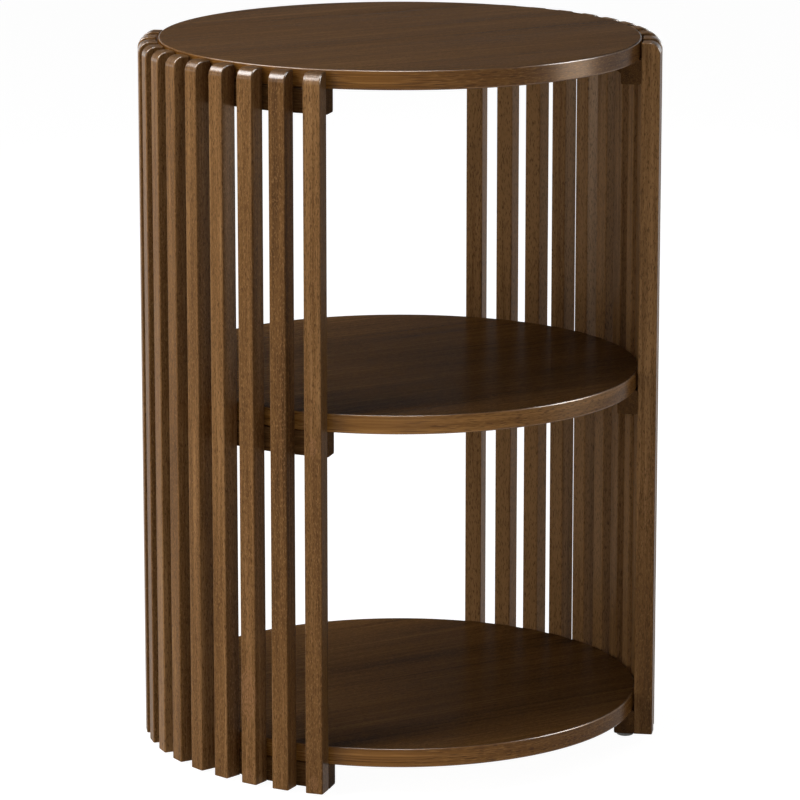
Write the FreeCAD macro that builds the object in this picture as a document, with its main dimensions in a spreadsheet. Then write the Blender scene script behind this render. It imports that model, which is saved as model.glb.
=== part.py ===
import FreeCAD, Part
import os
import Sketcher

# A round end table: three panels on curved rails between two screens of upright slats.
# Millimetres, +Z up, origin on the floor under the middle, the front opening faces -Y.

SIZES = (
    ("overall_diameter", "444", "across the outer faces of opposite slats"),
    ("bay_height", "268.25", "clear height from one panel to the next"),
    ("panel_thickness", "16", "top and shelves"),
    ("panel_gap", "1.5", "panel edge to the slats' inner faces"),
    ("panel_ease", "1.5", "radius on the panels' rims"),
    ("slat_width", "15", "along the circle"),
    ("slat_depth", "16", "towards the axis"),
    ("slat_count", "11", "slats in each screen"),
    ("slat_pitch", "8", "degrees from slat to slat"),
    ("slat_drop", "1.5", "slat tops below the table top"),
    ("slat_round", "9", "radius of a slat's top outer corner"),
    ("slat_ease", "1.2", "radius on a slat's long edges"),
    ("rail_width", "17", "towards the axis"),
    ("rail_height", "21", "under each panel"),
    ("rail_ease", "1.5", "radius on a rail's long edges"),
    ("seat_margin", "1", "flat on the rail beside each slat"),
    ("dowel_diameter", "6", "slat to rail"),
    ("dowel_rail_cover", "3.5", "wood from the hole's end to the rail's inner face"),
    ("dowel_slat_cover", "6.5", "wood from the hole's end to the slat's outer face"),
    ("dowel_chamfer", "0.8", "both ends"),
    ("hole_end_gap", "0.5", "empty end of a blind hole"),
    ("hole_side_gap", "0.1", "hole over its dowel, insert or nail, on diameter"),
    ("bolt_diameter", "6", "shank"),
    ("bolt_end_gap", "1.6", "bolt's end short of the insert's end"),
    ("bolt_head_diameter", "10", "socket head"),
    ("bolt_head_height", "6", "socket head"),
    ("bolt_socket", "5", "across the flats"),
    ("bolt_socket_depth", "3", "from the head's face"),
    ("bolt_hole_gap", "0.6", "rail hole over bolt, on diameter"),
    ("bolt_recess", "0.4", "head face above the rail's underside"),
    ("washer_diameter", "11", "outside"),
    ("washer_hole_gap", "0.4", "washer hole over bolt, on diameter"),
    ("washer_thickness", "1.6", "flat washer"),
    ("counterbore_gap", "1", "counterbore over washer, on diameter"),
    ("insert_diameter", "10", "outside"),
    ("insert_cover", "3.5", "wood from the hole's end to the panel's top"),
    ("glide_diameter", "16", "plastic cap"),
    ("glide_height", "4.5", "plastic cap"),
    ("glide_round", "2.5", "radius of the cap's lower rim"),
    ("glide_offset", "5.5", "middle of the end slat to the middle of the glide"),
    ("nail_diameter", "2", "shank"),
    ("nail_head_diameter", "7", "moulded into the cap"),
    ("nail_head_thickness", "1", "moulded into the cap"),
    ("nail_cover", "1.8", "plastic under the nail's head"),
    ("nail_depth", "12", "in the rail"),
    ("nail_point", "2.5", "length of the tip"),
)

LEVELS = ("bottom", "middle", "top")
HEX_SIDES = 6
TOLERANCE = 1e-4

# A bolt sits in the middle of this gap between slats, counted from 0 at either end of a screen.
BOLT_GAP = 1

# Sizes that follow from the sheet, as formulas.
SLAT_OUTER = "(Sizes.overall_diameter / 2)"
SLAT_INNER = f"({SLAT_OUTER} - Sizes.slat_depth)"
PANEL_RADIUS = f"({SLAT_INNER} - Sizes.panel_gap)"
RAIL_INNER = f"({SLAT_INNER} - Sizes.rail_width)"
RAIL_MIDDLE = f"({SLAT_INNER} - Sizes.rail_width / 2)"
SEAT_HALF = "(Sizes.slat_width / 2 + Sizes.seat_margin)"
RAIL_OUTER = f"sqrt({SLAT_INNER} ^ 2 + {SEAT_HALF} ^ 2)"
RAIL_OVERHANG = f"asin(Sizes.slat_width / 2 / {SLAT_INNER})"
SCREEN_SPAN = "((Sizes.slat_count - 1) * Sizes.slat_pitch)"
LEVEL_STEP = "(Sizes.bay_height + Sizes.panel_thickness)"
SLAT_LENGTH = f"(Sizes.rail_height + 2 * {LEVEL_STEP} + Sizes.panel_thickness - Sizes.slat_drop)"
HOLE_IN_RAIL = "(Sizes.rail_width - Sizes.dowel_rail_cover)"
HOLE_IN_SLAT = "(Sizes.slat_depth - Sizes.dowel_slat_cover)"
HOLE_IN_PANEL = "(Sizes.panel_thickness - Sizes.insert_cover)"
INSERT_LENGTH = f"({HOLE_IN_PANEL} - Sizes.hole_end_gap)"
DOWEL_HOLE = "((Sizes.dowel_diameter + Sizes.hole_side_gap) / 2)"
INSERT_HOLE = "((Sizes.insert_diameter + Sizes.hole_side_gap) / 2)"
NAIL_HOLE = "((Sizes.nail_diameter + Sizes.hole_side_gap) / 2)"
BOLT_SHANK_BASE = "(Sizes.bolt_recess + Sizes.bolt_head_height)"
COUNTERBORE_DEPTH = f"({BOLT_SHANK_BASE} + Sizes.washer_thickness)"
BOLT_LENGTH = f"(Sizes.rail_height - {BOLT_SHANK_BASE} + {INSERT_LENGTH} - Sizes.bolt_end_gap)"
BOLT_FROM_END = f"(({BOLT_GAP} + 0.5) * Sizes.slat_pitch)"
BOLT_ANGLE = f"({SCREEN_SPAN} / 2 - {BOLT_FROM_END})"
BOLT_X = f"({RAIL_MIDDLE} * cos({BOLT_ANGLE}))"
BOLT_Y = f"({RAIL_MIDDLE} * sin({BOLT_ANGLE}))"
GLIDE_FROM_END = f"asin(Sizes.glide_offset / {RAIL_MIDDLE})"
GLIDE_ANGLE = f"({SCREEN_SPAN} / 2 * 1deg - {GLIDE_FROM_END})"
GLIDE_X = f"({RAIL_MIDDLE} * cos({GLIDE_ANGLE}))"
GLIDE_Y = f"({RAIL_MIDDLE} * sin({GLIDE_ANGLE}))"
PANEL_BASE = "(Sizes.glide_height + Sizes.rail_height)"

doc = FreeCAD.newDocument("end_table")
sheet = doc.addObject("Spreadsheet::Sheet", "Sizes")
for row, (alias, number, note) in enumerate(SIZES, start=1):
    sheet.set(f"A{row}", alias)
    sheet.set(f"B{row}", number)
    sheet.set(f"C{row}", note)
    sheet.setAlias(f"B{row}", alias)
doc.recompute()


def value(formula):
    """The number that a formula on the sheet gives."""
    result = sheet.evalExpression(formula)
    return float(getattr(result, "Value", result))


def bind(thing, **formulas):
    """Bind properties of an object to formulas; a double underscore stands for a dot."""
    for name, formula in formulas.items():
        thing.setExpression(name.replace("__", "."), formula)


def datum(body, role):
    """A plane or axis of the body's own origin."""
    return next(feature for feature in body.Origin.OriginFeatures if feature.Role == role)


def new_body(label, turn="0", lift="0", x="0", y="0"):
    """A body for one node, turned about +Z and moved to its place."""
    body = doc.addObject("PartDesign::Body", label)
    body.Label = label
    bind(body, Placement__Base__x=x, Placement__Base__y=y, Placement__Base__z=lift)
    bind(body, Placement__Rotation__Angle=turn)
    return body


def sketch_on(body, role, name, shift=("0", "0", "0")):
    """A sketch on an origin plane, shifted along the plane's own axes."""
    sketch = body.newObject("Sketcher::SketchObject", name)
    sketch.AttachmentSupport = [(datum(body, role), "")]
    sketch.MapMode = "FlatFace"
    bind(sketch, AttachmentOffset__Base__x=shift[0])
    bind(sketch, AttachmentOffset__Base__y=shift[1])
    bind(sketch, AttachmentOffset__Base__z=shift[2])
    return sketch


def constrain(sketch, formula, *reference):
    """A dimension of a sketch that follows a formula."""
    number = sketch.addConstraint(Sketcher.Constraint(*reference, value(formula)))
    sketch.setExpression(f"Constraints[{number}]", formula)


def polygon(sketch, *corners):
    """A closed outline whose corners are pairs of formulas."""
    points = [FreeCAD.Vector(value(x), value(y), 0) for x, y in corners]
    lines = range(len(points))
    for line in lines:
        following = (line + 1) % len(points)
        sketch.addGeometry(Part.LineSegment(points[line], points[following]), False)
    for line in lines:
        following = (line + 1) % len(points)
        sketch.addConstraint(Sketcher.Constraint("Coincident", line, 2, following, 1))
    for line, (x, y) in zip(lines, corners):
        constrain(sketch, x, "DistanceX", -1, 1, line, 1)
        constrain(sketch, y, "DistanceY", -1, 1, line, 1)


def circle(sketch, x, y, radius):
    """A circle whose middle and radius are formulas."""
    middle = FreeCAD.Vector(value(x), value(y), 0)
    number = sketch.addGeometry(Part.Circle(middle, FreeCAD.Vector(0, 0, 1), value(radius)), False)
    constrain(sketch, x, "DistanceX", -1, 1, number, 3)
    constrain(sketch, y, "DistanceY", -1, 1, number, 3)
    constrain(sketch, radius, "Radius", number)


def feature(body, kind, name, profile, **formulas):
    """A feature made from a sketch, with its sizes bound."""
    made = body.newObject(f"PartDesign::{kind}", name)
    made.Profile = profile
    bind(made, **formulas)
    return made


def turned(body, kind, name, profile, axis):
    """A full turn of a sketch about one of its own axes."""
    made = feature(body, kind, name, profile)
    made.ReferenceAxis = (profile, [axis])
    made.Angle = 360
    return made


def pocket_up(body, name, profile, depth):
    """A cut from the sketch along its plane's normal."""
    cut = feature(body, "Pocket", name, profile, Length=depth)
    cut.Reversed = True
    return cut


def ease(body, name, base, radius, wanted):
    """Round the edges of a feature that pass a test."""
    doc.recompute()
    edges = enumerate(base.Shape.Edges, start=1)
    names = [f"Edge{number}" for number, edge in edges if wanted(edge)]
    fillet = body.newObject("PartDesign::Fillet", name)
    fillet.Base = (base, names)
    bind(fillet, Radius=radius)
    return fillet


def around(body, name, originals, count, angle):
    """Copies of features about the body's Z axis."""
    pattern = body.newObject("PartDesign::PolarPattern", name)
    pattern.Originals = originals
    pattern.Axis = (datum(body, "Z_Axis"), [""])
    bind(pattern, Occurrences=count, Angle=angle)
    body.Tip = pattern
    return pattern


def four_fold(body, name, originals, levels=1):
    """Copies of features in all four quarters and, where there are more, on every level."""
    steps = []
    for role in ("XZ_Plane", "YZ_Plane"):
        mirror = body.newObject("PartDesign::Mirrored", f"{name}_{role}")
        mirror.MirrorPlane = (datum(body, role), [""])
        steps.append(mirror)
    if levels > 1:
        stack = body.newObject("PartDesign::LinearPattern", f"{name}_levels")
        stack.Direction = (datum(body, "Z_Axis"), [""])
        stack.Occurrences = levels
        bind(stack, Length=f"{levels - 1} * {LEVEL_STEP}")
        steps.append(stack)
    many = body.newObject("PartDesign::MultiTransform", name)
    many.Originals = originals
    many.Transformations = steps
    body.Tip = many
    return many


def is_round(edge):
    return isinstance(edge.Curve, Part.Circle)


def make_panel(label, level):
    """A round board with blind holes for the threaded inserts in its underside."""
    body = new_body(label, lift=f"{PANEL_BASE} + {level} * {LEVEL_STEP}")
    outline = sketch_on(body, "XY_Plane", "outline")
    circle(outline, "0", "0", PANEL_RADIUS)
    board = feature(body, "Pad", "board", outline, Length="Sizes.panel_thickness")
    ease(body, "rim", board, "Sizes.panel_ease", is_round)
    holes = sketch_on(body, "XY_Plane", "holes")
    circle(holes, BOLT_X, BOLT_Y, INSERT_HOLE)
    cut = pocket_up(body, "insert_hole", holes, HOLE_IN_PANEL)
    four_fold(body, "insert_holes", [cut])
    return body


def make_rail(label, side_turn, level):
    """A curved rail; in its own frame the first slat lies on +X and the rest follow anticlockwise."""
    turn = f"{side_turn} - {SCREEN_SPAN} / 2"
    body = new_body(label, turn=turn, lift=f"Sizes.glide_height + {level} * {LEVEL_STEP}")
    section = sketch_on(body, "XZ_Plane", "section")
    polygon(
        section,
        (RAIL_INNER, "0"),
        (RAIL_OUTER, "0"),
        (RAIL_OUTER, "Sizes.rail_height"),
        (RAIL_INNER, "Sizes.rail_height"),
    )
    bend = feature(body, "Revolution", "bend", section)
    bend.ReferenceAxis = (section, ["V_Axis"])
    bend.Type = "TwoAngles"
    bind(bend, Angle=f"{SCREEN_SPAN} * 1deg + {RAIL_OVERHANG}", Angle2=RAIL_OVERHANG)
    ease(body, "long_edges", bend, "Sizes.rail_ease", is_round)

    seat = sketch_on(body, "XY_Plane", "seat")
    beyond = f"{SLAT_INNER} + Sizes.slat_depth"
    clear = f"({SEAT_HALF} + Sizes.seat_margin)"
    polygon(
        seat,
        (SLAT_INNER, f"-{clear}"),
        (beyond, f"-{clear}"),
        (beyond, clear),
        (SLAT_INNER, clear),
    )
    flat = pocket_up(body, "flat", seat, "Sizes.rail_height")
    hole = sketch_on(body, "XZ_Plane", "hole", ("0", "Sizes.rail_height / 2", "0"))
    hole_end = f"{SLAT_INNER} - {HOLE_IN_RAIL}"
    polygon(hole, (hole_end, "0"), (beyond, "0"), (beyond, DOWEL_HOLE), (hole_end, DOWEL_HOLE))
    bore = turned(body, "Groove", "bore", hole, "H_Axis")
    around(body, "slat_places", [flat, bore], "Sizes.slat_count", SCREEN_SPAN)

    bolt_place = (f"{RAIL_MIDDLE} * cos({BOLT_FROM_END})", f"{RAIL_MIDDLE} * sin({BOLT_FROM_END})")
    shank = sketch_on(body, "XY_Plane", "shank")
    circle(shank, *bolt_place, "(Sizes.bolt_diameter + Sizes.bolt_hole_gap) / 2")
    through = pocket_up(body, "through", shank, "Sizes.rail_height")
    head = sketch_on(body, "XY_Plane", "head")
    circle(head, *bolt_place, "(Sizes.washer_diameter + Sizes.counterbore_gap) / 2")
    counterbore = pocket_up(body, "counterbore", head, COUNTERBORE_DEPTH)
    around(body, "bolt_places", [through, counterbore], "2", f"{SCREEN_SPAN} - 2 * {BOLT_FROM_END}")

    if level == 0:
        pilot = sketch_on(body, "XY_Plane", "pilot")
        circle(pilot, f"{RAIL_MIDDLE} * cos({GLIDE_FROM_END})", f"{RAIL_MIDDLE} * sin({GLIDE_FROM_END})",
               NAIL_HOLE)
        nail_hole = pocket_up(body, "nail_hole", pilot, "Sizes.nail_depth + Sizes.hole_end_gap")
        between = f"{SCREEN_SPAN} * 1deg - 2 * {GLIDE_FROM_END}"
        around(body, "nail_holes", [nail_hole], "2", between)
    return body


def make_slat(label, angle):
    """An upright slat with a rounded top outer corner and a blind dowel hole at each rail."""
    body = new_body(label, turn=angle, lift="Sizes.glide_height")
    side = sketch_on(body, "XZ_Plane", "side")
    polygon(
        side,
        (SLAT_INNER, "0"),
        (SLAT_OUTER, "0"),
        (SLAT_OUTER, SLAT_LENGTH),
        (SLAT_INNER, SLAT_LENGTH),
    )
    bar = feature(body, "Pad", "bar", side, Length="Sizes.slat_width")
    bar.Midplane = True
    top = value(SLAT_LENGTH)
    half = value("Sizes.slat_width") / 2

    def at_top_corner(edge):
        middle = edge.CenterOfMass
        return abs(middle.x - value(SLAT_OUTER)) < TOLERANCE and abs(middle.z - top) < TOLERANCE

    def at_side_or_top(edge):
        box = edge.BoundBox
        on_side = box.YLength < TOLERANCE and abs(abs(box.YMin) - half) < TOLERANCE
        at_back = box.ZMin > top - TOLERANCE and box.XMax < value(SLAT_INNER) + TOLERANCE
        return at_back or (on_side and box.ZMax > TOLERANCE)

    corner = ease(body, "corner", bar, "Sizes.slat_round", at_top_corner)
    ease(body, "edges", corner, "Sizes.slat_ease", at_side_or_top)
    holes = sketch_on(body, "YZ_Plane", "holes", ("0", "0", SLAT_INNER))
    for level in range(len(LEVELS)):
        circle(holes, "0", f"Sizes.rail_height / 2 + {level} * {LEVEL_STEP}", DOWEL_HOLE)
    pocket_up(body, "dowel_holes", holes, HOLE_IN_SLAT)
    return body


def make_dowels(label, side_turn, level):
    """The dowels of one rail, one for each slat, in the rail's own frame."""
    turn = f"{side_turn} - {SCREEN_SPAN} / 2"
    body = new_body(label, turn=turn, lift=f"Sizes.glide_height + {level} * {LEVEL_STEP}")
    profile = sketch_on(body, "XZ_Plane", "profile", ("0", "Sizes.rail_height / 2", "0"))
    start = f"({SLAT_INNER} - {HOLE_IN_RAIL} + Sizes.hole_end_gap)"
    end = f"({SLAT_INNER} + {HOLE_IN_SLAT} - Sizes.hole_end_gap)"
    radius = "Sizes.dowel_diameter / 2"
    polygon(
        profile,
        (start, "0"),
        (end, "0"),
        (end, f"{radius} - Sizes.dowel_chamfer"),
        (f"{end} - Sizes.dowel_chamfer", radius),
        (f"{start} + Sizes.dowel_chamfer", radius),
        (start, f"{radius} - Sizes.dowel_chamfer"),
    )
    dowel = turned(body, "Revolution", "dowel", profile, "H_Axis")
    around(body, "dowels", [dowel], "Sizes.slat_count", SCREEN_SPAN)
    return body


def make_bolts(label):
    """Socket-head bolts, four to a panel, heads down in the rails' counterbores."""
    body = new_body(label)
    seat = "Sizes.glide_height + Sizes.bolt_recess"
    profile = sketch_on(body, "XZ_Plane", "profile", (BOLT_X, seat, f"-{BOLT_Y}"))
    head = "Sizes.bolt_head_diameter / 2"
    shank = "Sizes.bolt_diameter / 2"
    end = f"Sizes.bolt_head_height + {BOLT_LENGTH}"
    polygon(
        profile,
        ("0", "0"),
        (head, "0"),
        (head, "Sizes.bolt_head_height"),
        (shank, "Sizes.bolt_head_height"),
        (shank, end),
        ("0", end),
    )
    bolt = turned(body, "Revolution", "bolt", profile, "V_Axis")
    socket = sketch_on(body, "XY_Plane", "socket", (BOLT_X, BOLT_Y, seat))
    step = 360 // HEX_SIDES
    reach = f"Sizes.bolt_socket / 2 / cos({step / 2})"
    turns = range(0, 360, step)
    polygon(socket, *((f"{reach} * cos({turn})", f"{reach} * sin({turn})") for turn in turns))
    hexagon = pocket_up(body, "hexagon", socket, "Sizes.bolt_socket_depth")
    four_fold(body, "bolts", [bolt, hexagon], levels=len(LEVELS))
    return body


def make_washers(label):
    """A flat washer between each bolt head and the shoulder of its counterbore."""
    body = new_body(label)
    seat = f"Sizes.glide_height + {BOLT_SHANK_BASE}"
    profile = sketch_on(body, "XZ_Plane", "profile", (BOLT_X, seat, f"-{BOLT_Y}"))
    hole = "(Sizes.bolt_diameter + Sizes.washer_hole_gap) / 2"
    rim = "Sizes.washer_diameter / 2"
    polygon(
        profile,
        (hole, "0"),
        (rim, "0"),
        (rim, "Sizes.washer_thickness"),
        (hole, "Sizes.washer_thickness"),
    )
    washer = turned(body, "Revolution", "washer", profile, "V_Axis")
    four_fold(body, "washers", [washer], levels=len(LEVELS))
    return body


def make_inserts(label):
    """Threaded inserts let into the panels' undersides."""
    body = new_body(label)
    profile = sketch_on(body, "XZ_Plane", "profile", (BOLT_X, PANEL_BASE, f"-{BOLT_Y}"))
    bore = "(Sizes.bolt_diameter + Sizes.hole_side_gap) / 2"
    wall = "Sizes.insert_diameter / 2"
    polygon(
        profile,
        (bore, "0"),
        (wall, "0"),
        (wall, INSERT_LENGTH),
        (bore, INSERT_LENGTH),
    )
    insert = turned(body, "Revolution", "insert", profile, "V_Axis")
    four_fold(body, "inserts", [insert], levels=len(LEVELS))
    return body


def make_glide(label, x, y):
    """A round plastic foot moulded over the head of its nail."""
    body = new_body(label, x=x, y=y)
    profile = sketch_on(body, "XZ_Plane", "profile")
    rim = "Sizes.glide_diameter / 2"
    head = "(Sizes.nail_head_diameter + Sizes.hole_side_gap) / 2"
    head_top = "Sizes.nail_cover + Sizes.nail_head_thickness + Sizes.hole_side_gap / 2"
    polygon(
        profile,
        ("0", "0"),
        (rim, "0"),
        (rim, "Sizes.glide_height"),
        (NAIL_HOLE, "Sizes.glide_height"),
        (NAIL_HOLE, head_top),
        (head, head_top),
        (head, "Sizes.nail_cover"),
        ("0", "Sizes.nail_cover"),
    )
    cap = turned(body, "Revolution", "cap", profile, "V_Axis")

    def at_floor(edge):
        return edge.BoundBox.ZMax < TOLERANCE and is_round(edge)

    ease(body, "lower_rim", cap, "Sizes.glide_round", at_floor)
    return body


def make_nails(label):
    """The nails that hold the glides to the rails."""
    body = new_body(label)
    profile = sketch_on(body, "XZ_Plane", "profile", (GLIDE_X, "Sizes.nail_cover", f"-{GLIDE_Y}"))
    head = "Sizes.nail_head_diameter / 2"
    shank = "Sizes.nail_diameter / 2"
    tip = "(Sizes.glide_height - Sizes.nail_cover + Sizes.nail_depth)"
    polygon(
        profile,
        ("0", "0"),
        (head, "0"),
        (head, "Sizes.nail_head_thickness"),
        (shank, "Sizes.nail_head_thickness"),
        (shank, f"{tip} - Sizes.nail_point"),
        ("0", tip),
    )
    nail = turned(body, "Revolution", "nail", profile, "V_Axis")
    four_fold(body, "nails", [nail])
    return body


nodes = []
for level, label in enumerate(("bottom_shelf", "middle_shelf", "top_panel")):
    nodes.append(make_panel(label, level))
for side, side_turn in (("left", "180"), ("right", "0")):
    for level, height in enumerate(LEVELS):
        nodes.append(make_rail(f"{side}_{height}_rail", side_turn, level))
        nodes.append(make_dowels(f"{side}_{height}_dowels", side_turn, level))

# Slats are numbered from the front of each screen to its back.
for number in range(int(value("Sizes.slat_count"))):
    from_front = f"({SCREEN_SPAN} / 2 - {number} * Sizes.slat_pitch)"
    nodes.append(make_slat(f"left_slat_{number + 1:02d}", f"180 + {from_front}"))
    nodes.append(make_slat(f"right_slat_{number + 1:02d}", f"-{from_front}"))

nodes.append(make_bolts("panel_bolts"))
nodes.append(make_washers("bolt_washers"))
nodes.append(make_inserts("panel_inserts"))
for side, across in (("left", "-"), ("right", "")):
    for end, along in (("front", "-"), ("back", "")):
        nodes.append(make_glide(f"{side}_{end}_glide", f"{across}{GLIDE_X}", f"{along}{GLIDE_Y}"))
nodes.append(make_nails("glide_nails"))
doc.recompute()

for thing in doc.Objects:
    if {"Invalid", "Error"} & set(thing.State):
        raise RuntimeError(f"{thing.Label} did not compute")
os.makedirs("parts", exist_ok=True)
for node in nodes:
    if node.Shape.isNull() or not node.Shape.isValid():
        raise RuntimeError(f"{node.Label} has no valid shape")
    print(node.Label, len(node.Shape.Solids), "solids", round(node.Shape.Volume), "mm3")
    node.Shape.exportStep(f"parts/{node.Label}.step")
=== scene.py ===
import math

import bmesh
import bpy
from mathutils import Matrix, Vector


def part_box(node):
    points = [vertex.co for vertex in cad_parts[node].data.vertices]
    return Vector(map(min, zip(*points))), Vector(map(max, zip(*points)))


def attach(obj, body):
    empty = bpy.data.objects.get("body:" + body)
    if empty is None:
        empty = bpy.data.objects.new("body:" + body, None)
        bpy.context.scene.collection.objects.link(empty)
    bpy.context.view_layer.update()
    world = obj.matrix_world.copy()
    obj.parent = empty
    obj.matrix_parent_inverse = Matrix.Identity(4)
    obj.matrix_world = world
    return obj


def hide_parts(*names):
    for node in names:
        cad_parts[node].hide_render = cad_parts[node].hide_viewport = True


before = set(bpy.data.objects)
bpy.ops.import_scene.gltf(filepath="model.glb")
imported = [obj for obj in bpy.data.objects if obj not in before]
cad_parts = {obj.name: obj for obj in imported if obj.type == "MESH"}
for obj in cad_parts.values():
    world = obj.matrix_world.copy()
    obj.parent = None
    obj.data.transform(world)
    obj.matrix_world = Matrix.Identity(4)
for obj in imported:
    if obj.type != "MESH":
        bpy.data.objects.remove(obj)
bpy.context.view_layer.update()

# Curved rails: one under each panel on both sides, behind the slats.
# Bent hardwood, stained dark walnut under a satin lacquer, its colour set darker as painted shade for the
# shade between the slats, with a flat seat and a dowel hole for every slat on the outer face and two
# counterbored bolt holes in the underside.
RAIL_INNER = 0.189
RAIL_MIDDLE = 0.1975
RAIL_ROUND = 0.0015
SEAT_RADIUS = 0.206
SEAT_HALF_WIDTH = 0.0085
SLAT_COUNT = 11
SLAT_PITCH = math.radians(8)
SLAT_HALF_WIDTH = 0.0075
DOWEL_HOLE_RADIUS = 0.00305
DOWEL_HOLE_IN_RAIL = 0.0135
BOLT_ANGLE = math.radians(28)
BOLT_HOLE_RADIUS = 0.0033
COUNTERBORE_RADIUS = 0.006
COUNTERBORE_DEPTH = 0.008
GLIDE_ANGLE = math.radians(38.404)
NAIL_HOLE_RADIUS = 0.00105
NAIL_HOLE_DEPTH = 0.0125
PAST_FACE = 0.001
HOLE_SIDES = 32
SHARP_FROM = math.radians(40)
SIDE_TURNS = {"left": math.pi, "right": 0.0}
LEVELS = ("bottom", "middle", "top")
UP = Vector((0, 0, 1))


def outwards(angle):
    """The level direction from the axis of the table at an angle."""
    return Vector((math.cos(angle), math.sin(angle), 0))


def new_shape():
    """An empty shape whose points can each say how worn and how polished they are."""
    shape = bmesh.new()
    for mark in ("worn", "polished"):
        shape.verts.layers.float.new(mark)
    return shape


def round_edges(shape, edges, radius, steps, wear, polish):
    """Round edges and mark the points inside each rounding as worn and polished to a degree."""
    worn, polished = (shape.verts.layers.float[mark] for mark in ("worn", "polished"))
    rounded = bmesh.ops.bevel(
        shape, geom=list(edges), offset=radius, offset_type="OFFSET", segments=steps,
        profile=0.5, affect="EDGES", material=-1, clamp_overlap=True,
    )
    strip = set(rounded["faces"])
    for vert in rounded["verts"]:
        if all(face in strip for face in vert.link_faces):
            vert[worn] = wear
            vert[polished] = polish


def drill(piece, holes):
    """Cut round holes, each given by its mouth, its end and its radius."""
    bits = bmesh.new()
    for mouth, end, radius in holes:
        along = end - mouth
        turn = along.to_track_quat("Z", "Y").to_matrix().to_4x4()
        bmesh.ops.create_cone(
            bits, cap_ends=True, segments=HOLE_SIDES, radius1=radius, radius2=radius,
            depth=along.length, matrix=Matrix.Translation((mouth + end) / 2) @ turn,
        )
    cutter = bpy.data.objects.new("drill_bits", bpy.data.meshes.new("drill_bits"))
    bits.to_mesh(cutter.data)
    bits.free()
    bpy.context.scene.collection.objects.link(cutter)
    cut = piece.modifiers.new("holes", "BOOLEAN")
    cut.object = cutter
    cut.solver = "EXACT"
    solid = piece.data
    drilled = piece.evaluated_get(bpy.context.evaluated_depsgraph_get())
    piece.data = bpy.data.meshes.new_from_object(drilled)
    piece.modifiers.clear()
    bpy.data.meshes.remove(solid)
    bpy.data.meshes.remove(cutter.data)


def finish_piece(node, shape, slot, materials, *drillings):
    """Make a shape the piece that stands for a node: holes cut, faces smooth, riding on the table."""
    piece = bpy.data.objects.new(f"{node}_piece", bpy.data.meshes.new(f"{node}_piece"))
    bmesh.ops.recalc_face_normals(shape, faces=shape.faces)
    shape.to_mesh(piece.data)
    shape.free()
    bpy.context.scene.collection.objects.link(piece)
    for material in materials:
        piece.data.materials.append(material)
    for holes in drillings:
        drill(piece, holes)
    piece.data.shade_smooth()
    piece.data.set_sharp_from_angle(angle=SHARP_FROM)
    flats = piece.modifiers.new("flat_faces", "WEIGHTED_NORMAL")
    flats.keep_sharp = True
    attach(piece, "root")
    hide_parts(node)
    return piece


def add_node(tree, kind, inputs, **settings):
    """One node with its settings made and its inputs joined or set, by name or number."""
    node = tree.nodes.new(kind)
    for name, setting in settings.items():
        setattr(node, name, setting)
    for socket, given in inputs.items():
        if isinstance(given, bpy.types.NodeSocket):
            tree.links.new(given, node.inputs[socket])
        else:
            node.inputs[socket].default_value = given
    return node


def maths(tree, operation, *values):
    """The result of a sum on values or sockets."""
    return add_node(tree, "ShaderNodeMath", dict(enumerate(values)), operation=operation).outputs[0]


def vector_maths(tree, operation, *vectors):
    """The output sockets of a sum on vectors or sockets."""
    return add_node(tree, "ShaderNodeVectorMath", dict(enumerate(vectors)), operation=operation).outputs


def from_to(tree, given, low, high, out_low=0, out_high=1):
    """A value carried smoothly from one range to another."""
    ends = {"Value": given, "From Min": low, "From Max": high, "To Min": out_low, "To Max": out_high}
    return add_node(tree, "ShaderNodeMapRange", ends, interpolation_type="SMOOTHSTEP").outputs[0]


def mixed(tree, share, first, second):
    """Two colours mixed by a share from 0 to 1."""
    inputs = {"Factor": share, 6: first, 7: second}
    return add_node(tree, "ShaderNodeMix", inputs, data_type="RGBA").outputs[2]


def noise(tree, place, waves, detail, distortion=0.0):
    """Noise over a place, with so many waves to a unit along each axis."""
    scaled = vector_maths(tree, "MULTIPLY", place, waves)[0]
    inputs = {"Vector": scaled, "Scale": 1.0, "Detail": detail, "Distortion": distortion}
    return add_node(tree, "ShaderNodeTexNoise", inputs).outputs["Fac"]


def new_group(name, takes, gives):
    """An empty node group with named sockets, and the sockets inside it."""
    group = bpy.data.node_groups.new(name, "ShaderNodeTree")
    for label, kind in takes.items():
        group.interface.new_socket(label, in_out="INPUT", socket_type=f"NodeSocket{kind}")
    for label, kind in gives.items():
        group.interface.new_socket(label, in_out="OUTPUT", socket_type=f"NodeSocket{kind}")
    return group, group.nodes.new("NodeGroupInput").outputs, group.nodes.new("NodeGroupOutput").inputs


# Stained grain along Z of Place: board tone, streaks, fibres, dark pores and pale flecks.
# Waves are per millimetre on each axis; the piece's own tone attribute makes a board paler or darker, by its
# own tone and, on the right screen's boards, by painted light.
# Ranges of two say where a share starts and is full, ranges of four what is carried from and to.
NOISE_MEAN = 0.5
BOARD_WAVES = (0.028, 0.028, 0.0022)
STREAK_WAVES = (0.26, 0.26, 0.006)
FIBRE_WAVES = (1.3, 1.3, 0.05)
PORE_WAVES = (1.3, 1.3, 0.24)
FLECK_WAVES = (0.95, 0.95, 0.4)
SPECKS = (0.53, 0.66)
BOARD_SHARE = 0.8
STREAK_SHARE = 0.9
FIBRE_SHARE = 0.55
DEEP_TO_MID = (0.35, 0.75)
MID_TO_PALE = (0.72, 1.2)
FLECK_PALENESS = 0.45
PORE_DARKNESS = 0.65
FIBRE_HEIGHT = 0.5
LACQUER_BY_STREAK = (0.3, 0.7, 1.3, 0.7)

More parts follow.
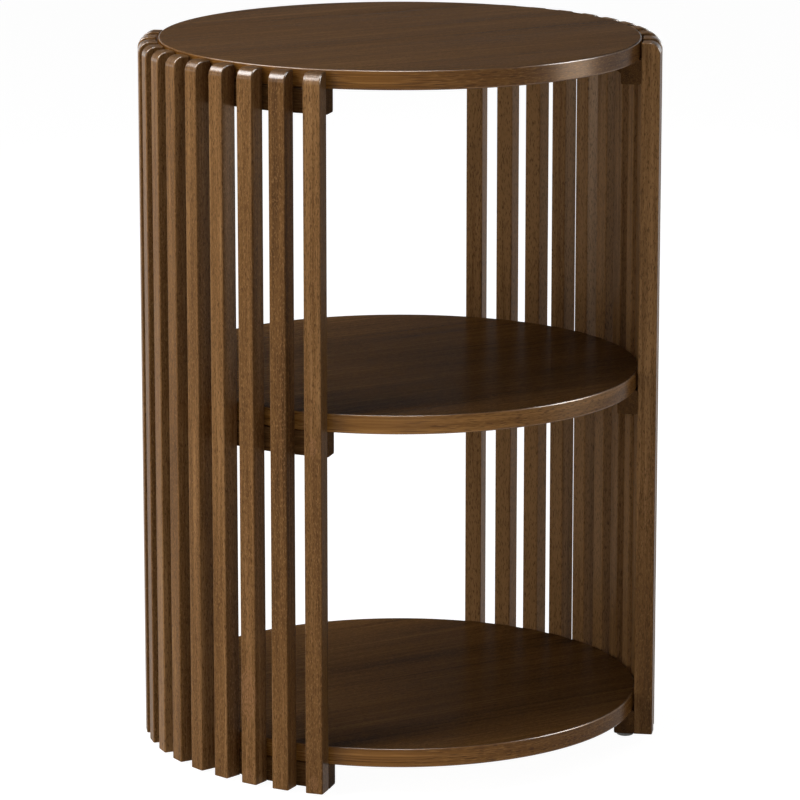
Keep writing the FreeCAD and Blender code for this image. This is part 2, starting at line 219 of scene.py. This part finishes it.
stained_grain, grain_takes, grain_gives = new_group(
    "stained_grain",
    {"Place": "Vector", "Deep": "Color", "Mid": "Color", "Pale": "Color"},
    {"Color": "Color", "Lacquer": "Float", "Height": "Float"},
)
grain_place = grain_takes["Place"]
board = noise(stained_grain, grain_place, BOARD_WAVES, detail=2.0)
streaks = noise(stained_grain, grain_place, STREAK_WAVES, detail=3.0, distortion=0.4)
fibres = noise(stained_grain, grain_place, FIBRE_WAVES, detail=2.0)
pores = from_to(stained_grain, noise(stained_grain, grain_place, PORE_WAVES, detail=1.5), *SPECKS)
flecks = from_to(stained_grain, noise(stained_grain, grain_place, FLECK_WAVES, detail=2.0), *SPECKS)
# The tone attribute is board tone, with painted light added on the right screen's boards.
own_tone_and_light = add_node(stained_grain, "ShaderNodeAttribute", {}, attribute_name="tone").outputs["Fac"]
tone = maths(stained_grain, "MULTIPLY", maths(stained_grain, "SUBTRACT", board, NOISE_MEAN), BOARD_SHARE)
tone = maths(stained_grain, "ADD", tone, own_tone_and_light)
tone = maths(stained_grain, "ADD", tone, maths(stained_grain, "MULTIPLY", streaks, STREAK_SHARE))
tone = maths(stained_grain, "ADD", tone, maths(stained_grain, "MULTIPLY", fibres, FIBRE_SHARE))
mid_share = from_to(stained_grain, tone, *DEEP_TO_MID)
wood = mixed(stained_grain, mid_share, grain_takes["Deep"], grain_takes["Mid"])
pale_share = from_to(stained_grain, tone, *MID_TO_PALE)
wood = mixed(stained_grain, pale_share, wood, grain_takes["Pale"])
fleck_share = maths(stained_grain, "MULTIPLY", flecks, FLECK_PALENESS)
wood = mixed(stained_grain, fleck_share, wood, grain_takes["Pale"])
pore_share = maths(stained_grain, "MULTIPLY", pores, PORE_DARKNESS)
wood = mixed(stained_grain, pore_share, wood, grain_takes["Deep"])
relief = maths(stained_grain, "SUBTRACT", maths(stained_grain, "MULTIPLY", fibres, FIBRE_HEIGHT), pores)
stained_grain.links.new(wood, grain_gives["Color"])
stained_grain.links.new(from_to(stained_grain, streaks, *LACQUER_BY_STREAK), grain_gives["Lacquer"])
stained_grain.links.new(relief, grain_gives["Height"])

# Rounded edges where the stain has rubbed thin in patches, from the piece's own worn attribute.
PATCH_WAVES = (0.2, 0.2, 0.05)
RUB_BY_PATCH = (0.35, 0.65, 0.05, 0.4)

worn_edge, worn_takes, worn_gives = new_group(
    "worn_edge", {"Color": "Color", "Rubbed": "Color", "Place": "Vector"}, {"Color": "Color"}
)
on_edge = add_node(worn_edge, "ShaderNodeAttribute", {}, attribute_name="worn").outputs["Fac"]
patches = from_to(worn_edge, noise(worn_edge, worn_takes["Place"], PATCH_WAVES, detail=3.0), *RUB_BY_PATCH)
rub = maths(worn_edge, "MULTIPLY", on_edge, patches)
worn_edge.links.new(mixed(worn_edge, rub, worn_takes["Color"], worn_takes["Rubbed"]), worn_gives["Color"])


def srgb(red, green, blue):
    """A colour given as it looks on screen, as the shader's own values."""
    def linear(value):
        value /= 255
        return value / 12.92 if value <= 0.04045 else ((value + 0.055) / 1.055) ** 2.4
    return (linear(red), linear(green), linear(blue), 1.0)


# Dark walnut stain, darkened further as painted shade for the shade that falls on the rails between the
# slats.
RAIL_STAIN_AND_SHADE = (srgb(47, 29, 12), srgb(75, 50, 25), srgb(106, 75, 43))
LACQUER = 0.055
LACQUER_ROUGHNESS = 0.27
GRAIN_HEIGHT = 0.00012
GRAIN_STRENGTH = 0.35
MILLIMETRES = 1000
CURVE_WAY = (0.6, 0.8, 0)


def new_material(name):
    """A material with its tree, its shader and the piece's own coordinates in millimetres."""
    material = bpy.data.materials.new(name)
    material.use_nodes = True
    tree = material.node_tree
    metres = add_node(tree, "ShaderNodeTexCoord", {}).outputs["Object"]
    scaling = {"Vector": metres, "Scale": (MILLIMETRES,) * 3}
    place = add_node(tree, "ShaderNodeMapping", scaling).outputs[0]
    return material, tree, tree.nodes["Principled BSDF"], place


def along_curve(tree, place):
    """A place read as height, radius and way along the curve, for wood that is bent round the axis."""
    parts = add_node(tree, "ShaderNodeSeparateXYZ", {0: place}).outputs
    level = add_node(tree, "ShaderNodeCombineXYZ", {0: parts[0], 1: parts[1]}).outputs[0]
    radius = vector_maths(tree, "LENGTH", level)["Value"]
    way = vector_maths(tree, "DOT_PRODUCT", level, CURVE_WAY)["Value"]
    return add_node(tree, "ShaderNodeCombineXYZ", {0: parts[2], 1: radius, 2: way}).outputs[0]


def stain(tree, shader, place, deep, mid, pale, lacquer=LACQUER, grain_height=GRAIN_HEIGHT):
    """Lay stained grain, worn edges and a thin lacquer on a shader; the colour is given back."""
    inputs = {"Place": place, "Deep": deep, "Mid": mid, "Pale": pale}
    grain = add_node(tree, "ShaderNodeGroup", inputs, node_tree=stained_grain).outputs
    inputs = {"Color": grain["Color"], "Rubbed": pale, "Place": place}
    colour = add_node(tree, "ShaderNodeGroup", inputs, node_tree=worn_edge).outputs["Color"]
    tree.links.new(colour, shader.inputs["Base Color"])
    inputs = {"Strength": GRAIN_STRENGTH, "Distance": grain_height, "Height": grain["Height"]}
    tree.links.new(add_node(tree, "ShaderNodeBump", inputs).outputs[0], shader.inputs["Normal"])
    polish = add_node(tree, "ShaderNodeAttribute", {}, attribute_name="polished").outputs["Fac"]
    film = maths(tree, "MULTIPLY", grain["Lacquer"], lacquer)
    tree.links.new(maths(tree, "MAXIMUM", film, polish), shader.inputs["Coat Weight"])
    shader.inputs["Coat Roughness"].default_value = LACQUER_ROUGHNESS
    shader.inputs["Specular IOR Level"].default_value = 0
    return colour


rail_wood, rail_tree, rail_shader, rail_place = new_material("rail_wood")
stain(rail_tree, rail_shader, along_curve(rail_tree, rail_place), *RAIL_STAIN_AND_SHADE)
ON_ONE_RADIUS = 1e-7


def across_rail(edge):
    """Whether an edge of a rail lies in one of its sections, so that both ends are on one radius."""
    first, second = (vert.co.xy for vert in edge.verts)
    return abs(first.x * second.y - first.y * second.x) < ON_ONE_RADIUS


def rail_shape(lowest, highest, side_turn):
    """A bent bar whose outer face is flat at every slat and turns between them."""
    outer = math.hypot(SEAT_RADIUS, SEAT_HALF_WIDTH)
    seat = math.asin(SEAT_HALF_WIDTH / outer)
    overhang = math.asin(SLAT_HALF_WIDTH / SEAT_RADIUS)
    between = [SLAT_PITCH / 2 - seat] * 2
    turns = [overhang + seat] + (between + [2 * seat]) * (SLAT_COUNT - 2) + between + [seat + overhang]
    start = outwards(side_turn - SLAT_PITCH * (SLAT_COUNT - 1) / 2 - overhang)
    shape = new_shape()
    corners = ((RAIL_INNER, lowest), (outer, lowest), (outer, highest), (RAIL_INNER, highest))
    section = shape.faces.new([shape.verts.new(start * radius + UP * height) for radius, height in corners])
    last = [section, *section.edges, *section.verts]
    for turn in turns:
        last = bmesh.ops.spin(shape, geom=last, cent=(0, 0, 0), axis=UP, angle=turn, steps=1)["geom_last"]
    bmesh.ops.recalc_face_normals(shape, faces=shape.faces)
    along = [edge for edge in shape.edges if not across_rail(edge)]
    round_edges(shape, along, RAIL_ROUND, steps=4, wear=0.4, polish=0.05)
    return shape


for side, side_turn in SIDE_TURNS.items():
    slat_angles = [side_turn + SLAT_PITCH * (number - (SLAT_COUNT - 1) / 2) for number in range(SLAT_COUNT)]
    bolts = [outwards(side_turn + turn) * RAIL_MIDDLE for turn in (-BOLT_ANGLE, BOLT_ANGLE)]
    nails = [outwards(side_turn + turn) * RAIL_MIDDLE for turn in (-GLIDE_ANGLE, GLIDE_ANGLE)]
    for level in LEVELS:
        node = f"{side}_{level}_rail"
        lowest, highest = (corner.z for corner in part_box(node))
        middle = UP * (lowest + highest) / 2
        under = UP * (lowest - PAST_FACE)
        over = UP * (highest + PAST_FACE)
        small_holes = [
            (middle + outwards(angle) * (SEAT_RADIUS + PAST_FACE),
             middle + outwards(angle) * (SEAT_RADIUS - DOWEL_HOLE_IN_RAIL), DOWEL_HOLE_RADIUS)
            for angle in slat_angles
        ]
        small_holes += [(under + bolt, over + bolt, BOLT_HOLE_RADIUS) for bolt in bolts]
        if level == "bottom":
            nail_end = UP * (lowest + NAIL_HOLE_DEPTH)
            small_holes += [(under + nail, nail_end + nail, NAIL_HOLE_RADIUS) for nail in nails]
        bore_end = UP * (lowest + COUNTERBORE_DEPTH)
        counterbores = [(under + bolt, bore_end + bolt, COUNTERBORE_RADIUS) for bolt in bolts]
        shape = rail_shape(lowest, highest, side_turn)
        finish_piece(node, shape, "rail_wood", [rail_wood], small_holes, counterbores)

# Dowels: one beech dowel glued into each slat and its rail, out of sight.
# Turned round with chamfered ends; the CAD shape stays and gets its own pale wood.
DOWEL_STAIN = (srgb(176, 138, 98), srgb(201, 165, 122), srgb(220, 190, 150))

dowel_wood, dowel_tree, dowel_shader, dowel_place = new_material("dowel_wood")
stain(dowel_tree, dowel_shader, along_curve(dowel_tree, dowel_place), *DOWEL_STAIN)


def coat_node(node, material):
    """Give a CAD node that keeps its shape a finish of its own."""
    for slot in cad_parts[node].material_slots:
        slot.material = material


for side in SIDE_TURNS:
    for level in LEVELS:
        coat_node(f"{side}_{level}_dowels", dowel_wood)

# Slats: eleven square hardwood uprights in each screen, doweled to the three rails.
# Stained like the rails, long edges eased, the top outer corner rounded over and polished by hands,
# the foot cut square. Boards differ in tone, the right screen's boards all paler as painted light, and pores
# and small knots show through the stain.
SLAT_OUTER = 0.222
SLAT_DEPTH = 0.016
SLAT_INNER = SLAT_OUTER - SLAT_DEPTH
SLAT_TOP_ROUND = 0.009
SLAT_EASE = 0.0012
SLAT_FOOT_EASE = 0.0003
DOWEL_HOLE_IN_SLAT = 0.0095
LEFT_SLATS_START = math.radians(220)
RIGHT_SLATS_START = math.radians(-40)
CLOSE = 1e-5
SLAT_STAIN = (srgb(64, 41, 20), srgb(102, 71, 39), srgb(139, 103, 65))
SLAT_SHEEN = 0.022
SLAT_ROUGHNESS = 0.35
# How much paler each board takes the stain, from the front of the table to the back: differences from board
# to board are the boards' own tone; the right screen's values are all raised, a painted light for the light
# that falls on its inner faces.
BOARD_TONES_AND_LIGHT = {
    "left": (0.06, -0.06, 0.08, 0.12, 0.07, 0.1, 0.2, 0.05, 0, 0.1, -0.05),
    "right": (0.16, 0.25, 0.2, 0.4, 0.3, 0.45, 0.5, 0.35, 0.62, 0.48, 0.38),
}
# Knots on the left screen: the slat, counted from nought at the front, the height in metres and the
# half sizes in millimetres.
KNOTS = (
    (2, 0.083, (8.5, 8.5, 23.0)),
    (0, 0.300, (3.5, 3.5, 9.0)),
    (0, 0.014, (4.5, 4.5, 7.0)),
    (2, 0.012, (6.0, 6.0, 6.5)),
)
KNOT_RING = srgb(142, 102, 71)
KNOT_WAVES = (2.4, 2.4, 2.4)
KNOT_UNEVENNESS = 0.9
KNOT_RING_TURNS = 30.0
RING_BY_WAVE = (-0.3, 0.9, 0.1, 1)
PALENESS_BY_REACH = (0.85, 1.0, 0.42, 0)

# A knot: uneven pale rings inside an egg-shaped place, fading at its border.
knot, knot_takes, knot_gives = new_group(
    "knot", {"Color": "Color", "Place": "Vector", "Centre": "Vector", "Size": "Vector", "Ring": "Color"},
    {"Color": "Color"},
)
from_centre = vector_maths(knot, "SUBTRACT", knot_takes["Place"], knot_takes["Centre"])[0]
in_knot = vector_maths(knot, "DIVIDE", from_centre, knot_takes["Size"])[0]
uneven = maths(knot, "SUBTRACT", noise(knot, in_knot, KNOT_WAVES, detail=4.0), NOISE_MEAN)
reach = vector_maths(knot, "LENGTH", in_knot)["Value"]
reach = maths(knot, "ADD", reach, maths(knot, "MULTIPLY", uneven, KNOT_UNEVENNESS))
ring_wave = maths(knot, "SINE", maths(knot, "MULTIPLY", reach, KNOT_RING_TURNS))
rings = maths(
    knot, "MULTIPLY", from_to(knot, ring_wave, *RING_BY_WAVE), from_to(knot, reach, *PALENESS_BY_REACH)
)
knot.links.new(mixed(knot, rings, knot_takes["Color"], knot_takes["Ring"]), knot_gives["Color"])

slat_wood, slat_tree, slat_shader, slat_place = new_material("slat_wood")
slat_colour = stain(slat_tree, slat_shader, slat_place, *SLAT_STAIN)
slat_shader.inputs["Specular IOR Level"].default_value = SLAT_SHEEN
slat_shader.inputs["Roughness"].default_value = SLAT_ROUGHNESS
for number, height, half_sizes in KNOTS:
    face = outwards(LEFT_SLATS_START - number * SLAT_PITCH) * SLAT_OUTER
    inputs = {
        "Color": slat_colour, "Place": slat_place, "Centre": (face + UP * height) * MILLIMETRES,
        "Size": half_sizes, "Ring": KNOT_RING,
    }
    slat_colour = add_node(slat_tree, "ShaderNodeGroup", inputs, node_tree=knot).outputs["Color"]
slat_tree.links.new(slat_colour, slat_shader.inputs["Base Color"])


def slat_shape(lowest, highest, angle):
    """A square bar, rounded at its top outer corner, eased along its edges and turned to its place."""
    depth_axis, width_axis, height_axis = range(3)

    def at(edge, axis, value):
        return all(abs(vert.co[axis] - value) < CLOSE for vert in edge.verts)

    shape = new_shape()
    bmesh.ops.create_cube(shape, size=1)
    bmesh.ops.scale(shape, vec=(SLAT_DEPTH, 2 * SLAT_HALF_WIDTH, highest - lowest), verts=shape.verts)
    middle = Vector((SLAT_OUTER - SLAT_DEPTH / 2, 0, (lowest + highest) / 2))
    bmesh.ops.translate(shape, vec=middle, verts=shape.verts)
    top = [edge for edge in shape.edges if at(edge, height_axis, highest)]
    corner = [edge for edge in top if at(edge, depth_axis, SLAT_OUTER)]
    round_edges(shape, corner, SLAT_TOP_ROUND, steps=12, wear=0, polish=0)
    eased = []
    for edge in shape.edges:
        beside = at(edge, width_axis, SLAT_HALF_WIDTH) or at(edge, width_axis, -SLAT_HALF_WIDTH)
        top_inner = at(edge, height_axis, highest) and at(edge, depth_axis, SLAT_INNER)
        if (beside or top_inner) and not at(edge, height_axis, lowest):
            eased.append(edge)
    round_edges(shape, eased, SLAT_EASE, steps=4, wear=0.4, polish=0.04)
    foot = [edge for edge in shape.edges if at(edge, height_axis, lowest)]
    round_edges(shape, foot, SLAT_FOOT_EASE, steps=2, wear=0.5, polish=0)
    polished = shape.verts.layers.float["polished"]
    for vert in shape.verts:
        on_round = min(vert.co.x - SLAT_OUTER, vert.co.z - highest) > CLOSE - SLAT_TOP_ROUND
        if on_round and abs(vert.co.y) < SLAT_HALF_WIDTH - CLOSE:
            vert[polished] = 1.0
    bmesh.ops.rotate(shape, cent=(0, 0, 0), matrix=Matrix.Rotation(angle, 3, "Z"), verts=shape.verts)
    return shape


rail_heights = [sum(corner.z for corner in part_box(f"left_{level}_rail")) / 2 for level in LEVELS]
for side, first, step in (("left", LEFT_SLATS_START, -SLAT_PITCH), ("right", RIGHT_SLATS_START, SLAT_PITCH)):
    for number in range(SLAT_COUNT):
        node = f"{side}_slat_{number + 1:02d}"
        angle = first + number * step
        lowest, highest = (corner.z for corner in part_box(node))
        holes = [
            (outwards(angle) * (SLAT_INNER - PAST_FACE) + UP * height,
             outwards(angle) * (SLAT_INNER + DOWEL_HOLE_IN_SLAT) + UP * height, DOWEL_HOLE_RADIUS)
            for height in rail_heights
        ]
        slat = finish_piece(node, slat_shape(lowest, highest, angle), "slat_wood", [slat_wood], holes)
        # Board tone, raised on the right screen as painted light.
        board_tone_and_light = slat.data.attributes.new("tone", "FLOAT", "POINT")
        board_tone_and_light.data.foreach_set("value", [BOARD_TONES_AND_LIGHT[side][number]] * len(slat.data.vertices))

# Panels: the round top and the two round shelves, cut from veneered board with a banded rim.
# Same stain and lacquer, grain from left to right on the faces and round the rim on the banding.
# Each has four blind holes in its underside for the threaded inserts.
PANEL_RADIUS = 0.2045
PANEL_EASE = 0.0015
PANEL_SIDES = 192
INSERT_HOLE_RADIUS = 0.00505
INSERT_HOLE_DEPTH = 0.0125
FACE_STAIN = (srgb(65, 41, 18), srgb(92, 62, 30), srgb(122, 87, 48))
FACE_LACQUER = 0.24
FACE_GRAIN_HEIGHT = 0.00005
RIM_STAIN = (srgb(68, 39, 12), srgb(109, 71, 28), srgb(150, 106, 54))
RIM_POLISH = 0.28
RIM_NORMAL = 0.75
TO_X = (0, math.radians(90), 0)

panel_face, face_tree, face_shader, face_place = new_material("panel_face")
grain_to_x = add_node(face_tree, "ShaderNodeMapping", {"Vector": face_place, "Rotation": TO_X}).outputs[0]
stain(face_tree, face_shader, grain_to_x, *FACE_STAIN, FACE_LACQUER, FACE_GRAIN_HEIGHT)
panel_rim, rim_tree, rim_shader, rim_place = new_material("panel_rim")
stain(rim_tree, rim_shader, along_curve(rim_tree, rim_place), *RIM_STAIN)


def raise_copy(shape, raised, height):
    """Lift what an extrusion has just made."""
    verts = [part for part in raised["geom"] if isinstance(part, bmesh.types.BMVert)]
    bmesh.ops.translate(shape, vec=UP * height, verts=verts)


def panel_shape(lowest, highest):
    """A disc with eased rims; the faces take the first finish and the rim the second."""
    shape = new_shape()
    bmesh.ops.create_circle(
        shape, cap_ends=True, radius=PANEL_RADIUS, segments=PANEL_SIDES,
        matrix=Matrix.Translation(UP * lowest),
    )
    raise_copy(shape, bmesh.ops.extrude_face_region(shape, geom=list(shape.faces)), highest - lowest)
    bmesh.ops.recalc_face_normals(shape, faces=shape.faces)
    rims = [edge for edge in shape.edges if abs(edge.verts[0].co.z - edge.verts[1].co.z) < CLOSE]
    round_edges(shape, rims, PANEL_EASE, steps=6, wear=0.5, polish=0.8)
    polished = shape.verts.layers.float["polished"]
    for vert in shape.verts:
        if vert.co.xy.length > PANEL_RADIUS - CLOSE:
            vert[polished] = RIM_POLISH
    for face in shape.faces:
        face.material_index = 1 if abs(face.normal.z) < RIM_NORMAL else 0
    return shape


for node in ("bottom_shelf", "middle_shelf", "top_panel"):
    lowest, highest = (corner.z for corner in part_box(node))
    holes = []
    for side_turn in SIDE_TURNS.values():
        for turn in (-BOLT_ANGLE, BOLT_ANGLE):
            bolt = outwards(side_turn + turn) * RAIL_MIDDLE
            mouth = bolt + UP * (lowest - PAST_FACE)
            holes.append((mouth, bolt + UP * (lowest + INSERT_HOLE_DEPTH), INSERT_HOLE_RADIUS))
    finish_piece(node, panel_shape(lowest, highest), "panel_wood", [panel_face, panel_rim], holes)

# Inserts, bolts and washers: brass inserts screwed into the panels, zinc-plated socket-head bolts
# and washers up through the rails. The CAD shapes stay; machined metal with faint rubbing.
CLOUD_WAVES = (0.35, 0.35, 0.35)
CLOUDS = (0.3, 0.7)
TURNING_WAVES = (0.4, 0.4, 6.0)
TURNING_HEIGHT = 0.00003
TURNING_STRENGTH = 0.2


def machined_metal(name, dark, light, smoothest, roughest):
    """Bare or plated metal with faint cloudy rubbing and fine marks of turning."""
    material, tree, shader, place = new_material(name)
    clouds = from_to(tree, noise(tree, place, CLOUD_WAVES, detail=4.0), *CLOUDS)
    tree.links.new(mixed(tree, clouds, dark, light), shader.inputs["Base Color"])
    tree.links.new(from_to(tree, clouds, 0, 1, smoothest, roughest), shader.inputs["Roughness"])
    turning = noise(tree, place, TURNING_WAVES, detail=2.0)
    inputs = {"Strength": TURNING_STRENGTH, "Distance": TURNING_HEIGHT, "Height": turning}
    tree.links.new(add_node(tree, "ShaderNodeBump", inputs).outputs[0], shader.inputs["Normal"])
    shader.inputs["Metallic"].default_value = 1.0
    return material


insert_brass = machined_metal("insert_brass", srgb(176, 138, 72), srgb(205, 170, 100), 0.28, 0.4)
bolt_steel = machined_metal("bolt_steel", srgb(120, 120, 122), srgb(165, 165, 168), 0.3, 0.45)
washer_steel = machined_metal("washer_steel", srgb(150, 150, 152), srgb(190, 190, 192), 0.32, 0.46)
coat_node("panel_inserts", insert_brass)
coat_node("panel_bolts", bolt_steel)
coat_node("bolt_washers", washer_steel)

# Glides: a round grey plastic foot under each end of the lower rails, with a steel nail moulded in.
# The lower rim is rounded so that it slides; the plastic is mottled and finely grained by its mould.
GLIDE_RADIUS = 0.008
GLIDE_ROUND = 0.0025
GLIDE_TOP_EASE = 0.0003
GLIDE_SIDES = 48
NAIL_HEAD_RADIUS = 0.00355
NAIL_HEAD_LOW = 0.0018
NAIL_HEAD_HIGH = 0.00285
PLASTIC_DARK = srgb(92, 91, 88)
PLASTIC_LIGHT = srgb(118, 117, 113)
PLASTIC_ROUGHNESS = (0.42, 0.55)
MOTTLE_WAVES = (0.6, 0.6, 0.6)
MOULD_WAVES = (5.0, 5.0, 5.0)
MOULD_HEIGHT = 0.00004
MOULD_STRENGTH = 0.25

glide_plastic, glide_tree, glide_shader, glide_place = new_material("glide_plastic")
mottle = from_to(glide_tree, noise(glide_tree, glide_place, MOTTLE_WAVES, detail=4.0), *CLOUDS)
plastic_colour = mixed(glide_tree, mottle, PLASTIC_DARK, PLASTIC_LIGHT)
glide_tree.links.new(plastic_colour, glide_shader.inputs["Base Color"])
glide_tree.links.new(from_to(glide_tree, mottle, 0, 1, *PLASTIC_ROUGHNESS), glide_shader.inputs["Roughness"])
mould_marks = noise(glide_tree, glide_place, MOULD_WAVES, detail=2.0)
mould_relief = {"Strength": MOULD_STRENGTH, "Distance": MOULD_HEIGHT, "Height": mould_marks}
mould_normal = add_node(glide_tree, "ShaderNodeBump", mould_relief).outputs[0]
glide_tree.links.new(mould_normal, glide_shader.inputs["Normal"])


def glide_shape(middle, height):
    """A low disc with a rounded lower rim."""
    shape = new_shape()
    bmesh.ops.create_cone(
        shape, cap_ends=True, segments=GLIDE_SIDES, radius1=GLIDE_RADIUS, radius2=GLIDE_RADIUS,
        depth=height, matrix=Matrix.Translation(middle + UP * height / 2),
    )
    low = [edge for edge in shape.edges if all(vert.co.z < CLOSE for vert in edge.verts)]
    round_edges(shape, low, GLIDE_ROUND, steps=6, wear=0, polish=0)
    high = [edge for edge in shape.edges if all(vert.co.z > height - CLOSE for vert in edge.verts)]
    round_edges(shape, high, GLIDE_TOP_EASE, steps=2, wear=0, polish=0)
    return shape


for side, side_turn in SIDE_TURNS.items():
    to_front = -GLIDE_ANGLE if side == "right" else GLIDE_ANGLE
    for end, turn in (("front", to_front), ("back", -to_front)):
        node = f"{side}_{end}_glide"
        middle = outwards(side_turn + turn) * RAIL_MIDDLE
        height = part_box(node)[1].z
        in_head = UP * (NAIL_HEAD_LOW + NAIL_HEAD_HIGH) / 2
        shank = [(middle + UP * (height + PAST_FACE), middle + in_head, NAIL_HOLE_RADIUS)]
        head = [(middle + UP * NAIL_HEAD_HIGH, middle + UP * NAIL_HEAD_LOW, NAIL_HEAD_RADIUS)]
        finish_piece(node, glide_shape(middle, height), "glide_plastic", [glide_plastic], shank, head)
coat_node("glide_nails", machined_metal("nail_steel", srgb(120, 118, 115), srgb(160, 158, 155), 0.35, 0.5))

# Studio floor: a wide pale sweep with a low rim far away.
# It is white to the camera and in reflections, with a faint shadow, and throws back soft light.
FLOOR_RADIUS = 24.0
FLOOR_RIM = 3.0
FLOOR_SIDES = 96
FLOOR_WHITE = 0.965
FLOOR_SHADOW = (0.22, 0.22, 0.22, 1)
FLOOR_PALE = (0.6, 0.6, 0.6, 1)

floor_paint = bpy.data.materials.new("floor_paint")
floor_paint.use_nodes = True
floor_tree = floor_paint.node_tree
floor_tree.nodes.remove(floor_tree.nodes["Principled BSDF"])
ray = add_node(floor_tree, "ShaderNodeLightPath", {}).outputs
seen = maths(floor_tree, "MAXIMUM", ray["Is Camera Ray"], ray["Is Glossy Ray"])
seen = maths(floor_tree, "MAXIMUM", seen, ray["Is Transmission Ray"])
pale = add_node(floor_tree, "ShaderNodeBsdfDiffuse", {"Color": FLOOR_PALE}).outputs[0]
shadow = add_node(floor_tree, "ShaderNodeBsdfDiffuse", {"Color": FLOOR_SHADOW}).outputs[0]
glow = add_node(floor_tree, "ShaderNodeEmission", {"Color": (1, 1, 1, 1), "Strength": FLOOR_WHITE}).outputs[0]
white = add_node(floor_tree, "ShaderNodeAddShader", {0: shadow, 1: glow}).outputs[0]
floor_look = add_node(floor_tree, "ShaderNodeMixShader", {0: seen, 1: pale, 2: white}).outputs[0]
floor_tree.links.new(floor_look, floor_tree.nodes["Material Output"].inputs["Surface"])

sweep = bmesh.new()
bmesh.ops.create_circle(sweep, cap_ends=True, radius=FLOOR_RADIUS, segments=FLOOR_SIDES)
raise_copy(sweep, bmesh.ops.extrude_edge_only(sweep, edges=list(sweep.edges)), FLOOR_RIM)
floor = bpy.data.objects.new("studio_floor", bpy.data.meshes.new("studio_floor"))
sweep.to_mesh(floor.data)
sweep.free()
floor.data.materials.append(floor_paint)
bpy.context.scene.collection.objects.link(floor)

# Studio light: a high and a low soft box at the left, weak ones in front, behind, at the right and
# overhead, and a dim room. The sheen and glint boxes light nothing and only show in the lacquer.
ROOM_LIGHT = 0.05
AIM = Vector((0, 0, 0.3))
WHITE = (1, 1, 1)
WARM = (1.0, 0.78, 0.56)

scene = bpy.context.scene
scene.view_settings.view_transform = "Standard"
scene.world = bpy.data.worlds.new("studio_room")
scene.world.use_nodes = True
room = scene.world.node_tree.nodes["Background"].inputs
room["Color"].default_value = (*WHITE, 1)
room["Strength"].default_value = ROOM_LIGHT


def soft_box(name, place, width, height, power, lights=True, glints=True, tint=WHITE):
    """A rectangular lamp that faces the table; it lights the wood, glints in the lacquer, or both."""
    lamp = bpy.data.lights.new(name, "AREA")
    lamp.shape = "RECTANGLE"
    lamp.size = width
    lamp.size_y = height
    lamp.energy = power
    lamp.color = tint
    box = bpy.data.objects.new(name, lamp)
    box.location = place
    box.rotation_euler = (AIM - place).to_track_quat("-Z", "Y").to_euler()
    box.visible_camera = False
    box.visible_diffuse = lights
    box.visible_glossy = glints
    scene.collection.objects.link(box)


def round_place(degrees, distance, height):
    """A place round the table, by its direction from the axis."""
    return outwards(math.radians(degrees)) * distance + UP * height


soft_box("left_box", round_place(167, 1.55, 2.0), 1.4, 1.0, 39)
soft_box("left_sheen", round_place(162, 1.55, 2.0), 2.4, 1.0, 75, lights=False)
soft_box("left_low_box", round_place(183, 2.4, 0.5), 1.8, 0.9, 25.5, glints=False)
soft_box("front_box", round_place(262, 2.6, 0.6), 2.0, 0.8, 5.5, glints=False)
soft_box("low_box", round_place(248, 1.5, 0.14), 0.8, 0.24, 3.5, glints=False)
soft_box("right_sheen", round_place(325, 1.7, 0.4), 0.6, 0.6, 18, lights=False, tint=WARM)
soft_box("right_glint", round_place(325, 1.75, 1.15), 0.7, 0.9, 80, lights=False)
soft_box("back_box", round_place(98, 2.6, 0.75), 1.4, 1.0, 20, glints=False)
soft_box("side_box", round_place(14, 2.6, 0.75), 1.4, 1.0, 20, glints=False)
soft_box("top_box", Vector((-0.25, -0.25, 2.4)), 0.45, 0.45, 1.2, glints=False)
soft_box("top_glint", Vector((-0.3, -0.3, 2.2)), 0.8, 0.8, 60, lights=False)

# Camera: the photograph's view, a long lens from the front left, a little above the top.
FRAME_PIXELS = 800
FOCAL_PIXELS = 4596.5
SENSOR_WIDTH = 36
CAMERA_PLACE = Vector((-2.0022, -3.3038, 1.1683))
CAMERA_AIM = Vector((0, 0, 0.2926))

lens = bpy.data.cameras.new("camera")
lens.sensor_width = SENSOR_WIDTH
lens.lens = FOCAL_PIXELS * SENSOR_WIDTH / FRAME_PIXELS
camera = bpy.data.objects.new("camera", lens)
camera.location = CAMERA_PLACE
camera.rotation_euler = (CAMERA_AIM - CAMERA_PLACE).to_track_quat("-Z", "Y").to_euler()
scene.collection.objects.link(camera)
scene.camera = camera
